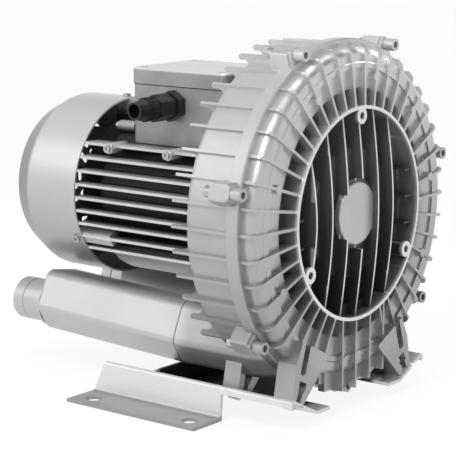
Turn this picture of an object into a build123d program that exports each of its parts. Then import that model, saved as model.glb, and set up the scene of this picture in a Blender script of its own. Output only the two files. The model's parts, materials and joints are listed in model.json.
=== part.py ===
from build123d import *
import math
import os

os.makedirs("parts", exist_ok=True)

# Side channel blower. Lengths in mm, angles in degrees.
# Built round the shaft line (Y), y = 0 at the front edge of the cover ring, then lifted on to the floor.

# --- where the machine stands -------------------------------------------------
AXIS_HEIGHT = 181.5       # shaft line above the floor
FOOT_MID_Y = 149.75       # middle of the four foot holes, behind the front ring
FOOT_PITCH_X = 260.0      # foot holes, across
FOOT_PITCH_Y = 115.0      # foot holes, along the shaft
FOOT_HOLE_R = 7.5         # foot hole radius

# --- blower casing ------------------------------------------------------------
RIB_R = 152.0             # outside of the cooling ribs
BODY_R = 148.5            # outside of the drum between the ribs
BAND_R = 155.5            # outside of the split flange band
RING_R = 97.0             # outside of the front ring
RING_WALL = 3.0           # wall of the front ring
SPLIT_Y = 25.0            # parting plane of cover and housing
BAND_T = 6.0              # half of the band on each side of the parting plane
HOUSING_REAR_Y = 84.0     # rear wall of the drum
RIB_REAR_Y = 95.4         # rear tips of the ribs
RIB_COUNT = 42            # rib positions round the casing
RIB_T = 2.6               # rib thickness
LUG_COUNT = 7             # casing screws
LUG_T = 19.0              # housing block under each casing screw
LUG_R = 161.5             # radius of the casing screws
CASING_SCREW_R = 2.9      # casing screw radius
CHANNEL_R_IN = 115.0      # side channel, inner radius
CHANNEL_R_OUT = 143.5     # side channel, outer radius
CHANNEL_FRONT_Y = 13.0    # bottom of the front channel
CHANNEL_REAR_Y = 79.0     # bottom of the rear channel
COVER_BOSS_R = 88.0       # three tapped bosses inside the ring
COVER_BOSS_TAP_R = 3.4    # tapped hole in those bosses

# --- impeller and shaft -------------------------------------------------------
IMP_FRONT_Y = 30.0        # front face of the impeller
IMP_REAR_Y = 60.0         # rear face of the impeller
IMP_R = 141.5             # impeller radius
IMP_RIM_R = 110.0         # rim of the impeller where the vanes start
IMP_SIDE_GAP = 0.6        # impeller to the casing walls
VANE_COUNT = 44           # vanes round the impeller
VANE_T = 2.2              # vane thickness
IMP_SEAT_R = 14.0         # shaft seat of the impeller
SEAT_GAP = 0.05           # radial gap of the slide-on seats
HOUSED_GAP = 0.10         # radial gap of what sits in a casting
SHAFT_FRONT_Y = 7.0       # front end of the shaft
SHAFT_REAR_Y = 297.0      # rear end of the shaft
SEAL_SEAT_R = 15.0        # shaft radius under the lip seal
SEAL_R = 23.5             # seal pocket in the rear wall
KEY_W = 8.0               # impeller key width
KEY_H = 7.0               # impeller key height

# --- ball bearings ------------------------------------------------------------
BRG_BORE_R = 12.5         # bearing bore radius
BRG_OUT_R = 26.0          # bearing outside radius
BRG_W = 15.0              # bearing width
BALL_R = 3.9              # ball radius
BALL_PITCH_R = 19.25      # ball pitch radius
BALL_COUNT = 9
BRG_FRONT_Y = 8.5         # front bearing, front face
BRG_REAR_Y = 241.0        # rear bearing, front face
CAP_R = 28.5              # bearing cap in the cover hub

# --- motor --------------------------------------------------------------------
FRAME_Y0 = 96.0           # motor frame, front face
FRAME_Y1 = 246.0          # motor frame, rear face
FRAME_R_IN = 63.0         # frame bore
FRAME_R_OUT = 68.5        # frame tube outside
FIN_R = 86.0              # fin tips
FIN_PITCH = 12.65         # fin spacing
FIN_T = 2.6               # fin thickness
FIN_MID_Z = -1.9          # middle fin, below the shaft line
FIN_Y0 = 114.0            # fins start behind the flange screws
FIN_Y1 = 268.5            # fins end at the cowl rim
CORE_Y0 = 128.0           # stator and rotor core, front
CORE_Y1 = 218.0           # stator and rotor core, rear
AIR_GAP = 0.5             # rotor to stator
STATOR_BORE_R = 40.0
FLANGE_T = 8.0            # front flange thickness
END_RIM_R = 68.0          # rim of the rear end shield
SHIELD_SCREW_R = 73.0     # end shield screws
FLANGE_SCREW_R = 84.0     # screws of the front flange
FLANGE_ANGLES = (45, 135, -45, -135)
PAD_Z = 72.0              # flat seat of the terminal box
SIDE_BOSS_Z = 47.0        # lateral bosses
SLOT_COUNT = 24
COWL_R = 86.5             # fan cowl outside
COWL_Y0 = 269.0           # fan cowl front rim
COWL_Y1 = 331.0           # end of the straight part
COWL_Y2 = 356.0           # rear face
COWL_T = 1.6              # sheet of the cowl
COWL_SCREW_Y = 277.0      # cowl screws
COWL_ANGLES = (90, -30, -150)
SHIELD_ANGLES = (60, 120, -60, -120)
FAN_R = 68.0              # cooling fan radius
FAN_BLADES = 9

# --- terminal box and gland ---------------------------------------------------
BOX_HALF_X = 46.5
BOX_Y0 = 118.0
BOX_Y1 = 229.0
BOX_SEAM_Z = 105.5        # joint of box and lid
BOX_TOP_Z = 121.8
BOX_WALL = 3.5
GLAND_Y = 177.0
GLAND_Z = 88.7
GLAND_TIP_X = -104.0
GLAND_CABLE_R = 5.6       # free bore for the cord

# --- silencers ----------------------------------------------------------------
SIL_Y0 = 143.5            # silencer, joint with the casing neck
SIL_Y1 = 317.0            # silencer, rear end
SIL_WALL = 3.5
SIL_RISE = 7.9            # the rear end sits this much higher
NOZZLE_X = 64.5           # hose nozzle centre, sideways
NOZZLE_Z = -114.3         # hose nozzle centre below the shaft
COLLAR_R = 23.5           # collar against the silencer
NOZZLE_R = 20.7           # outside radius of the nozzle
NOZZLE_BORE_R = 17.0
NOZZLE_Y1 = 356.0         # nozzle end
NOZZLE_GROOVE_Y = 340.0   # groove for the hose clip

# --- base ---------------------------------------------------------------------
SHEET_T = 3.0
DECK_ANGLE = 26.5         # slope of the cradle under the lugs
DECK_R = 179.7            # distance of the cradle surface from the shaft
DECK_Y0 = -2.0
DECK_Y1 = 158.0
WING_Y0 = 75.0
WING_Y1 = 227.0
FOOT_OUT_X = 145.7
WEB_X = 107.5
RIDGE_X = 105.0
FLAT_X = 68.0
LUG_T_LEFT = -15.5        # sideways offset of the left foot lug in its own frame
LUG_T_RIGHT = 1.5         # same for the right foot lug, mirrored
LUG_T_REAR = -4.0         # same for the rear lugs
FOOT_BOLT_Y = (9.0, 76.0)  # foot bolts under the cover and under the housing
FOOT_BOLT_R = 3.0
NUT_AF = 10.0             # nut across flats
NUT_H = 5.0               # nut height
NUT_DEEP = 9.7            # nut seat above the cradle surface
BOLT_TIP = 1.0            # bolt past the nut

Y_AXIS = Axis.Y


# --- small helpers ------------------------------------------------------------
def path_face(pts, radii=None):
    """Face in the XY plane from corner points, with a fillet radius at chosen corners."""
    radii = radii or {}
    n = len(pts)
    starts, ends, arcs = [], [], []
    for i, p in enumerate(pts):
        r = radii.get(i, 0)
        if not r:
            starts.append(p)
            ends.append(p)
            arcs.append(None)
            continue
        a, b = pts[i - 1], pts[(i + 1) % n]
        ua = ((a[0] - p[0]) / math.dist(a, p), (a[1] - p[1]) / math.dist(a, p))
        ub = ((b[0] - p[0]) / math.dist(b, p), (b[1] - p[1]) / math.dist(b, p))
        half = math.acos(max(-1, min(1, ua[0] * ub[0] + ua[1] * ub[1]))) / 2
        t = r / math.tan(half)
        mid = (ua[0] + ub[0], ua[1] + ub[1])
        ln = math.hypot(*mid)
        c = (p[0] + mid[0] / ln * r / math.sin(half), p[1] + mid[1] / ln * r / math.sin(half))
        starts.append((p[0] + ua[0] * t, p[1] + ua[1] * t))
        ends.append((p[0] + ub[0] * t, p[1] + ub[1] * t))
        arcs.append((c[0] - mid[0] / ln * r, c[1] - mid[1] / ln * r))
    edges = []
    for i in range(n):
        if arcs[i]:
            edges.append(ThreePointArc(starts[i], arcs[i], ends[i]))
        j = (i + 1) % n
        if math.dist(ends[i], starts[j]) > 1e-6:
            edges.append(Line(ends[i], starts[j]))
    return make_face(Curve() + edges)


def turned(pts, radii=None):
    """Solid of revolution about the shaft line from (radius, y) corners."""
    return revolve(path_face(pts, radii), axis=Y_AXIS)


def tube(r_out, r_in, y0, y1, x=0.0, z=0.0):
    """Tube or bar along Y."""
    ring = Circle(r_out) - Circle(r_in) if r_in > 0 else Circle(r_out)
    return extrude(Plane((x, y0, z), x_dir=(1, 0, 0), z_dir=(0, 1, 0)) * ring, y1 - y0)


def bar(r, start, direction, length):
    """Round bar from a point along a direction."""
    return extrude(Plane(start, z_dir=direction) * Circle(r), length)


def slab(x0, x1, y0, y1, z0, z1):
    """Box from its limits."""
    return Pos((x0 + x1) / 2, (y0 + y1) / 2, (z0 + z1) / 2) * Box(x1 - x0, y1 - y0, z1 - z0)


def prism_y(pts, y0, y1, radii=None):
    """Prism along Y from (x, z) corners."""
    flat = path_face([(x, -z) for x, z in pts], radii)
    return extrude(Plane((0, y0, 0), x_dir=(1, 0, 0), z_dir=(0, 1, 0)) * flat, y1 - y0)


def spin(shape, angle):
    """Turn a shape about the shaft line; angle measured from +X towards +Z."""
    return Rot(0, -angle, 0) * shape


def polar(r, angle):
    """(x, z) of a point at a radius and an angle from +X towards +Z."""
    return r * math.cos(math.radians(angle)), r * math.sin(math.radians(angle))


def fuse(*shapes):
    """One solid from many."""
    first, rest = shapes[0], list(shapes[1:])
    return (first.fuse(*rest) if rest else first).clean()


def mirror_x(shape):
    return mirror(shape, about=Plane.YZ)


def screw(r, head_r, head_h, length, start, direction, socket=True):
    """Cap screw: head top at start, pointing along direction."""
    head = bar(head_r, start, direction, head_h)
    far = tuple(start[i] + direction[i] * (head_h - 0.5) for i in range(3))
    body = head + bar(r, far, direction, length + 0.5)
    if socket:
        hexa = Plane(start, z_dir=direction) * RegularPolygon(head_r * 0.52, 6)
        body -= extrude(hexa, head_h * 0.55)
    return body


def hexbar(across, start, direction, length):
    return extrude(Plane(start, z_dir=direction) * RegularPolygon(across / math.sqrt(3), 6), length)


def save(name, *solids):
    """Move to the floor frame and write one STEP file."""
    moved = [Pos(0, -FOOT_MID_Y, AXIS_HEIGHT) * s for s in solids]
    shape = moved[0] if len(moved) == 1 else Compound(children=[Part() + m for m in moved])
    export_step(shape, f"parts/{name}.step")


# --- angles -------------------------------------------------------------------
LUG_ANGLES = [-90 + i * 360 / LUG_COUNT for i in range(LUG_COUNT)]
RIB_STEP = 360 / RIB_COUNT
RIB_ANGLES = [-90 + RIB_STEP * (i + 0.5) for i in range(RIB_COUNT)]
BOTTOM_HALF = 17.0        # the bottom sector carries upright ribs instead
PAD_RIBS = (7, 11, 15, 19, 24, 29, 34)


def off_bottom(angle):
    """Angle measured from straight down, 0 to 180."""
    return abs((angle + 90 + 180) % 360 - 180)


# --- front cover --------------------------------------------------------------
def cover_shell():
    ring_in = RING_R - RING_WALL
    land = IMP_FRONT_Y - IMP_SIDE_GAP
    pts = [
        (18.5, SPLIT_Y + 1), (18.5, 23.5), (BRG_OUT_R, 23.5), (BRG_OUT_R, 6.0), (32, 6.0), (32, 10),
        (59, 10.5), (63.5, 21), (ring_in, 21), (ring_in, 0), (RING_R, 0), (RING_R, 19.5), (109, 19.5), (112, 8),
        (129.5, 8), (130, 6.2), (134.5, 6.2), (135.3, 7), (BODY_R, 7), (BODY_R, SPLIT_Y - BAND_T + 1),
        (BAND_R - 1, SPLIT_Y - BAND_T + 1), (BAND_R, SPLIT_Y - BAND_T + 2), (BAND_R, SPLIT_Y),
        (CHANNEL_R_IN, SPLIT_Y), (CHANNEL_R_IN, land), (IMP_RIM_R - 6, land), (IMP_RIM_R - 9, 25.5),
        (66, 25.5), (58, 17), (32, 15), (32, SPLIT_Y + 1),
    ]
    radii = {6: 3, 7: 3, 8: 2, 11: 2, 12: 2, 13: 2, 18: 9.5}
    return turned(pts, radii)


def cover_rib(angle):
    """Thin rib: along the rim, round the shoulder, sloping in to the ring."""
    pts = [
        (RING_R - 1.5, 1.5), (146.5, 5.0), (RIB_R, 11.0), (RIB_R, SPLIT_Y - 2), (BODY_R - 2, SPLIT_Y - 2),
        (BODY_R - 2, 16.0), (131, 11.5), (113.5, 11.5), (108, 21), (RING_R - 1.5, 21),
    ]
    flat = path_face(pts, {1: 6, 2: 5})
    return spin(Pos(0, 0, -RIB_T / 2) * extrude(flat, RIB_T), angle)


def chord_rib(x):
    """Upright rib across the recess, its front edge bulging forward."""
    zm = math.sqrt((RING_R - 2) ** 2 - x ** 2)
    front = [(-zm, 5.0), (-zm * 0.5, -0.6), (0, -3.0), (zm * 0.5, -0.6), (zm, 5.0)]
    edge = Spline(*[(z, y) for z, y in front])
    back = Polyline((zm, 5.0), (zm, 22.5), (-zm, 22.5), (-zm, 5.0))
    face = make_face(Curve() + [edge, back])
    # sketch X runs along the height, sketch Y along the shaft
    return extrude(Plane((x - 1.1, 0, 0), x_dir=(0, 0, 1), z_dir=(1, 0, 0)) * mirror(face, about=Plane.XZ), 2.2)


def foot_lug(t_mid, y0, y1):
    """Bracket reaching radially down to the cradle, left side."""
    phi = -90 - DECK_ANGLE
    er = (math.cos(math.radians(phi)), math.sin(math.radians(phi)))
    et = (-er[1], er[0])

    def at(t, r):
        return ((t_mid + t) * et[0] + r * er[0], (t_mid + t) * et[1] + r * er[1])

    body = prism_y([at(-9.1, DECK_R), at(9.1, DECK_R), at(14.1, 166), at(26.6, 132), at(26.6, 129),
                    at(-17.1, 129), at(-17.1, 150)], y0, y1, {2: 6, 6: 4})
    groove = prism_y([at(-12.1, 128), at(-4.1, 128), at(-0.1, 156), at(-8.1, 156)], y0 - 1, y0 + 7, {2: 3, 3: 3})
    slot = prism_y([at(-3.4, 168), at(3.4, 168), at(3.4, DECK_R + 1), at(-3.4, DECK_R + 1)], y0 - 1, y0 + 13)
    pocket = prism_y([at(-NUT_AF / 2 - 0.3, DECK_R - NUT_DEEP - 9), at(NUT_AF / 2 + 0.3, DECK_R - NUT_DEEP - 9),
                      at(NUT_AF / 2 + 0.3, DECK_R - NUT_DEEP), at(-NUT_AF / 2 - 0.3, DECK_R - NUT_DEEP)],
                     y0 - 1, y0 + 16, {0: 1, 1: 1})
    return body - groove - slot - pocket


def lug_block(angle, y0, y1, half_root, half_tip, r_tip):
    """Tapering block on the drum for a casing screw."""
    block = prism_y([(BODY_R - 2, -half_root), (r_tip, -half_tip), (r_tip, half_tip), (BODY_R - 2, half_root)],
                    y0, y1, {1: 2, 2: 2})
    return spin(block, angle)


def channel_ring(y_end, y_bottom, y_mid, r_foot):
    """Air space of the side channel on one side of the impeller."""
    rear = y_bottom > y_end
    outer = y_bottom - 13 if rear else y_bottom
    pts = [(CHANNEL_R_IN, y_end), (CHANNEL_R_IN, y_mid), (r_foot, y_bottom)]
    pts += [(134, y_bottom)] if rear else []
    pts += [(CHANNEL_R_OUT, outer), (CHANNEL_R_OUT, y_end)]
    return turned(pts, {1: 3, 2: 5, 3: 8, 4: 6} if rear else {1: 4, 2: 5, 3: 9})


def front_cover():
    shell = cover_shell()
    ribs = [cover_rib(a) for a in RIB_ANGLES if off_bottom(a) > BOTTOM_HALF and off_bottom(a) < 181]
    pads = []
    for i in PAD_RIBS:
        x, z = polar(123.5, RIB_ANGLES[i])
        pads.append(tube(4, 0, 3.5, 11.5, x, z))
    bosses, holes = [], []
    for a in LUG_ANGLES:
        x, z = polar(LUG_R, a)
        bosses += [lug_block(a, SPLIT_Y - 3, SPLIT_Y, 9.5, 6.5, LUG_R + 6), tube(5.6, 0, 11.5, SPLIT_Y - 2, x, z)]
        holes.append(tube(CASING_SCREW_R + 0.1, 0, 10, SPLIT_Y + 1, x, z))
    for a in (90, -30, -150):
        x, z = polar(COVER_BOSS_R, a)
        bosses.append(tube(7.4, 0, 0, 22.5, x, z))
        holes.append(tube(COVER_BOSS_TAP_R, 0, -1, 15, x, z))
    hub = tube(CAP_R + 3.5, 0, -10, 30)
    uprights = [chord_rib(x) for x in (-72, -48, 48)]
    uprights += [chord_rib(x) - hub for x in (-24, 0)] + [chord_rib(24) - tube(CAP_R + 0.5, 0, 2.5, 30)]
    stubs = [slab(-RING_R + 2, -80, 5, 22.5, z - 1, z + 1) for z in (-20.5, 4.5, 29.5)]
    stubs += [slab(80, RING_R - 2, 5, 22.5, z - 1, z + 1) for z in (-20.5, 4.5, 29.5)]
    panel = [prism_y([(-46, -RING_R * 0.86), (46, -RING_R * 0.86), (46, -150), (20, -154), (-20, -154), (-46, -150)],
                     12, SPLIT_Y - 8.2)]
    low = [prism_y([(-40, -128), (50, -128), (50, -148), (30, -158), (-40, -158)], 10, SPLIT_Y - 8.2)]
    for x, zlow in ((-22, -160), (-1, -161), (21.5, -157), (43.5, -153)):
        top = -math.sqrt((RING_R - 2) ** 2 - x ** 2)
        panel.append(slab(x - 1.2, x + 1.2, 2.5, 17, zlow, top))
    for x0, x1, zc in ((-20, -13, -133), (1.5, 9, -131), (24, 31, -126)):
        low.append(slab(x0, x1, 4.5, 13, zc - 4, zc + 3))
    lugs = [foot_lug(LUG_T_LEFT, 0, 20), mirror_x(foot_lug(LUG_T_RIGHT, 0, 20))]
    stop = interrupter(CHANNEL_FRONT_Y - 1, IMP_FRONT_Y - IMP_SIDE_GAP)
    nose, hollow = cover_nose()
    body = fuse(shell, *ribs, *pads, *bosses, *uprights, *stubs, *panel, *low, *lugs, nose, mirror_x(nose))
    body = body - channel_ring(SPLIT_Y, CHANNEL_FRONT_Y, 20, 123) - hollow - mirror_x(hollow)
    body = fuse(body, stop)
    for h in holes:
        body -= h
    return body


# --- rear housing -------------------------------------------------------------
NECK = [(-36, -93), (-76.5, -86.5), (-92.2, -122), (-78.6, -145), (-44, -148.5), (-28, -120)]
NECK_FRONT = [(-39, -95), (-78, -88), (-90.5, -119), (-77, -141), (-46, -146), (-32, -119)]
NECK_NOSE = [(-41, -97), (-77, -90), (-87, -117), (-73, -137.5), (-47, -142), (-34, -117)]
NECK_RADII = {0: 8, 1: 11, 2: 8, 3: 11, 4: 8, 5: 8}


def housing_shell():
    land = IMP_REAR_Y + IMP_SIDE_GAP
    pts = [
        (16.5, 69), (60, 66), (IMP_RIM_R - 12, land), (CHANNEL_R_IN, land), (CHANNEL_R_IN, 68),
        (121, CHANNEL_REAR_Y), (134, CHANNEL_REAR_Y), (CHANNEL_R_OUT, CHANNEL_REAR_Y - 13), (CHANNEL_R_OUT, SPLIT_Y),
        (BAND_R, SPLIT_Y), (BAND_R, SPLIT_Y + BAND_T + 1), (BAND_R - 1, SPLIT_Y + BAND_T + 2),
        (BODY_R, SPLIT_Y + BAND_T + 2), (BODY_R, HOUSING_REAR_Y), (100, HOUSING_REAR_Y), (96, 82),
        (96, FRAME_Y0), (72.05, FRAME_Y0), (72.05, 79), (30, 75), (30, 86), (SEAL_R, 86), (SEAL_R, 75.5),
        (16.5, 75.5),
    ]
    return turned(pts, {4: 3, 5: 5, 6: 8, 7: 6, 13: 9, 18: 3, 19: 3})


def housing_rib(angle):
    """Low rib along the drum, ending in a finger behind the rear wall."""
    pts = [
        (BODY_R - 2, SPLIT_Y + 4), (RIB_R, SPLIT_Y + 4), (RIB_R, RIB_REAR_Y), (RIB_R - 5, RIB_REAR_Y),
        (RIB_R - 5, HOUSING_REAR_Y + 2.5), (98, HOUSING_REAR_Y + 2.5), (98, HOUSING_REAR_Y - 2),
        (BODY_R - 7.5, HOUSING_REAR_Y - 2.5), (BODY_R - 2, 72),
    ]
    flat = path_face(pts, {2: 2.3, 3: 2.3, 4: 3})
    return spin(Pos(0, 0, -RIB_T / 2) * extrude(flat, RIB_T), angle)


def neck_section(pts, y, inset=0.0):
    """Six-sided neck outline at a station along the shaft, left side."""
    flat = path_face([(x, -z) for x, z in pts], NECK_RADII)
    flat = offset(flat, -inset) if inset else flat
    return Plane((0, y, 0), x_dir=(1, 0, 0), z_dir=(0, 1, 0)) * flat


def housing_neck(inset=0.0, more=0.0):
    """Neck casting from the parting plane to the silencer; inset gives its air way."""
    straight = extrude(neck_section(NECK, 60, inset), SIL_Y0 - 60 + more)
    return fuse(loft([neck_section(NECK_FRONT, SPLIT_Y, inset), neck_section(NECK, 60, inset)]), straight)


def cover_nose():
    """Blunt front end of the neck on the cover, hollow towards the housing."""
    nose = loft([neck_section(NECK_NOSE, 12), neck_section(NECK_FRONT, SPLIT_Y)])
    nose = fillet(nose.faces().sort_by(Axis.Y)[0].edges(), 5)
    hollow = loft([neck_section(NECK_NOSE, 17, 4.5), neck_section(NECK_FRONT, SPLIT_Y, 4.5)])
    return nose, hollow


def rear_housing():
    shell = housing_shell()
    ribs = [housing_rib(a) for a in RIB_ANGLES if not 24 < off_bottom(a) < 44 and off_bottom(a) > 6]
    blocks, holes = [], []
    for a in LUG_ANGLES:
        x, z = polar(LUG_R, a)
        blocks.append(lug_block(a, SPLIT_Y, SPLIT_Y + LUG_T, 12, 8, LUG_R + 5))
        holes.append(tube(CASING_SCREW_R + 0.1, 0, SPLIT_Y - 1, SPLIT_Y + LUG_T + 1, x, z))
    for x, y, z, d in foot_bolts()[2:]:
        tip = NUT_DEEP + NUT_H + BOLT_TIP + 0.5
        holes.append(bar(FOOT_BOLT_R + 0.4, (x - d[0] * tip, y, z - d[2] * tip), d, 4))
    for a in FLANGE_ANGLES:
        x, z = polar(FLANGE_SCREW_R, a)
        holes.append(tube(4.1, 0, 84.5, FRAME_Y0 + 1, x, z))
    necks = [housing_neck(), mirror_x(housing_neck())]
    ears = []
    for x, z in SIL_EARS:
        ears.append(tube(7.5, 0, SIL_Y0 - 8, SIL_Y0, x, z))
        holes.append(tube(3.1, 0, SIL_Y0 - 9, SIL_Y0 + 1, x, z))
        ears.append(tube(7.5, 0, SIL_Y0 - 8, SIL_Y0, -x, z))
        holes.append(tube(3.1, 0, SIL_Y0 - 9, SIL_Y0 + 1, -x, z))
    lugs = [foot_lug(LUG_T_REAR, 67, 85), mirror_x(foot_lug(LUG_T_REAR, 67, 85))]
    body = fuse(shell, *ribs, *blocks, *necks, *ears, *lugs)
    duct = housing_neck(4.5, 1.0)
    land = IMP_REAR_Y + IMP_SIDE_GAP
    wheel = turned([(16.5, SPLIT_Y - 1), (CHANNEL_R_IN + 5, SPLIT_Y - 1), (CHANNEL_R_IN + 5, land),
                    (IMP_RIM_R - 12, land), (60, 66), (16.5, 69)])
    body = body - wheel - channel_ring(SPLIT_Y - 1, CHANNEL_REAR_Y, 68, 121) - duct - mirror_x(duct)
    for h in holes:
        body -= h
    stop = interrupter(land, CHANNEL_REAR_Y + 1)
    return fuse(body, stop)


def interrupter(y0, y1):
    """Stripper block that closes the channel between the two ports."""
    block = tube(CHANNEL_R_OUT - 0.5, CHANNEL_R_IN - 1, y0, y1)
    wedge = prism_y([(0, 0), polar(200, -104), polar(200, -76)], y0, y1)
    return block & wedge


# --- silencers and nozzles ----------------------------------------------------
SIL_EARS = [(-26, -107), (-30.6, -137.3)]


def sil_section(pts, y):
    flat = path_face([(x, -z) for x, z in pts], NECK_RADII)
    return Plane((0, y, 0), x_dir=(1, 0, 0), z_dir=(0, 1, 0)) * flat


def shrunk(pts, k):
    """Corner points drawn in towards their middle."""
    cx = sum(p[0] for p in pts) / len(pts)
    cz = sum(p[1] for p in pts) / len(pts)
    return [(cx + (x - cx) * k, cz + (z - cz) * k) for x, z in pts]


def silencer_body():
    """Left silencer: a tapering six-sided shell, open at the front, flat at the rear."""
    rear = [(x, z + SIL_RISE) for x, z in NECK]
    outer = loft([sil_section(NECK, SIL_Y0), sil_section(rear, SIL_Y1)])
    back = outer.faces().sort_by(Axis.Y)[-1]
    outer = fillet(back.edges(), 4)
    inner = loft([sil_section(shrunk(NECK, 0.865), SIL_Y0 - 0.01), sil_section(shrunk(rear, 0.865), SIL_Y1 - SIL_WALL)])
    body = outer - inner - tube(NOZZLE_BORE_R, 0, SIL_Y1 - 10, SIL_Y1 + 10, -NOZZLE_X, NOZZLE_Z)
    for x, z in SIL_EARS:
        body = fuse(body, tube(7.5, 0, SIL_Y0, SIL_Y0 + 7, x, z) - tube(3.1, 0, SIL_Y0 - 1, SIL_Y0 + 8, x, z))
    return body - inner


def nozzle():
    """Left hose nozzle: a plain spigot with two shallow grooves and a collar."""
    pts = [(NOZZLE_BORE_R, SIL_Y1), (COLLAR_R, SIL_Y1), (COLLAR_R, SIL_Y1 + 3), (NOZZLE_R, SIL_Y1 + 3)]
    for y in (NOZZLE_GROOVE_Y,):
        pts += [(NOZZLE_R, y), (NOZZLE_R - 0.9, y + 0.6), (NOZZLE_R - 0.9, y + 2.4), (NOZZLE_R, y + 3)]
    pts += [(NOZZLE_R, NOZZLE_Y1 - 1), (NOZZLE_R - 1, NOZZLE_Y1), (NOZZLE_BORE_R, NOZZLE_Y1)]
    return Pos(-NOZZLE_X, 0, NOZZLE_Z) * turned(pts)


# --- base ---------------------------------------------------------------------
def base_frame():
    """Bent sheet cradle with two foot wings."""
    t = SHEET_T
    tan = math.tan(math.radians(DECK_ANGLE))
    cos = math.cos(math.radians(DECK_ANGLE))
    sin = math.sin(math.radians(DECK_ANGLE))

    def deck_z(x, r):
        return -(r + -x * sin) / cos if x > 0 else -(r + x * sin) / cos

    low = DECK_R + t
    zf = deck_z(-FLAT_X, DECK_R)
    left = [(-FOOT_OUT_X, -AXIS_HEIGHT), (-WEB_X - 2.0, -AXIS_HEIGHT)]
    top = [(-FOOT_OUT_X, -AXIS_HEIGHT + t), (-WEB_X - 1.5, -AXIS_HEIGHT + t), (-RIDGE_X - 1, deck_z(-RIDGE_X - 1, DECK_R)),
           (-FLAT_X, zf)]
    bot = [(-FLAT_X + 0.7, zf - t), (-RIDGE_X + t - 1.4, deck_z(-RIDGE_X + t - 1.4, low)), (-WEB_X + t - 1.5, -AXIS_HEIGHT)]
    pts_top = top + [(-x, z) for x, z in reversed(top)]
    pts_bot = [(-x, z) for x, z in reversed(bot)]
    pts_bot = [(WEB_X - t + 1.5, -AXIS_HEIGHT)] + [(RIDGE_X - t + 1.4, deck_z(-RIDGE_X + t - 1.4, low)),
                                                    (FLAT_X - 0.7, zf - t)]
    pts = pts_top + [(FOOT_OUT_X, -AXIS_HEIGHT)] + pts_bot + bot[:1] + bot[1:2] + bot[2:3] + [(-FOOT_OUT_X, -AXIS_HEIGHT)]
    sheet = prism_y(pts, DECK_Y0, WING_Y1, {1: 3, 2: 3, 5: 3, 6: 3})
    # wings only behind WING_Y0, a short lip in front of them
    sheet -= slab(-200, -WEB_X + 20, DECK_Y0 - 1, WING_Y0, -190, -156.5)
    sheet -= slab(WEB_X - 20, 200, DECK_Y0 - 1, WING_Y0, -190, -156.5)
    sheet -= slab(-RIDGE_X + 2, RIDGE_X - 2, DECK_Y1, WING_Y1 + 1, -178.4, -140)
    sheet -= slab(-48, 48, DECK_Y0 - 1, 62, -190, -140)
    for s in (-1, 1):
        corner = path_face([(WING_Y1 + 1, -146), (WING_Y1 - 14, -146), (WING_Y1 - 1, -178.3), (WING_Y1 + 1, -178.3)])
        sheet -= Plane((s * 100 - 20, 0, 0), x_dir=(0, 1, 0), z_dir=(1, 0, 0)) * extrude(corner, 40)
        for dy in (-1, 1):
            sheet -= Pos(s * FOOT_PITCH_X / 2, FOOT_MID_Y + dy * FOOT_PITCH_Y / 2, -AXIS_HEIGHT) \
                * Cylinder(FOOT_HOLE_R, 20)
    # upright stiffener along the rear edge of the deck
    rail = prism_y([(-RIDGE_X + 1, -150.5), (-RIDGE_X + 1, -149), (RIDGE_X - 1, -149), (RIDGE_X - 1, -150.5),
                    (FLAT_X, zf - 1), (-FLAT_X, zf - 1)], DECK_Y1 - t, DECK_Y1)
    sheet = fuse(sheet, rail)
    for x, y, z, d in foot_bolts():
        sheet -= bar(FOOT_BOLT_R + 0.5, (x - d[0] * 20, y, z - d[2] * 20), d, 60)
    return sheet


def foot_bolt_line(side, t_mid):
    """Point on the cradle surface and outward direction of a foot bolt."""
    phi = math.radians(-90 - DECK_ANGLE)
    er = (math.cos(phi), math.sin(phi))
    et = (-er[1], er[0])
    x = t_mid * et[0] + DECK_R * er[0]
    z = t_mid * et[1] + DECK_R * er[1]
    return (x, z, (er[0], 0, er[1])) if side < 0 else (-x, z, (-er[0], 0, er[1]))


def foot_bolts():
    """Seat point on the cradle and outward direction of all four foot bolts."""
    out = []
    for side, t_mid, y in ((-1, LUG_T_LEFT, FOOT_BOLT_Y[0]), (1, LUG_T_RIGHT, FOOT_BOLT_Y[0]),
                           (-1, LUG_T_REAR, FOOT_BOLT_Y[1]), (1, LUG_T_REAR, FOOT_BOLT_Y[1])):
        x, z, d = foot_bolt_line(side, t_mid)
        out.append((x, y, z, d))
    return out


def base_bolts():
    out = []
    for x, y, z, d in foot_bolts():
        top = (x + d[0] * (SHEET_T + 0.02), y, z + d[2] * (SHEET_T + 0.02))
        head = hexbar(NUT_AF, top, d, 4.0)
        long = NUT_DEEP + NUT_H + BOLT_TIP
        start = (x - d[0] * long, y, z - d[2] * long)
        out.append(head + bar(FOOT_BOLT_R, start, d, long + SHEET_T + 1))
    return out


def base_nuts():
    out = []
    far = NUT_DEEP + NUT_H + 0.05
    for x, y, z, d in foot_bolts():
        start = (x - d[0] * far, y, z - d[2] * far)
        hexa = Plane(start, x_dir=(0, 1, 0), z_dir=d) * RegularPolygon(NUT_AF / math.sqrt(3), 6)
        out.append(extrude(hexa, NUT_H) - bar(FOOT_BOLT_R + SEAT_GAP, start, d, 8))
    return out


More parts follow.
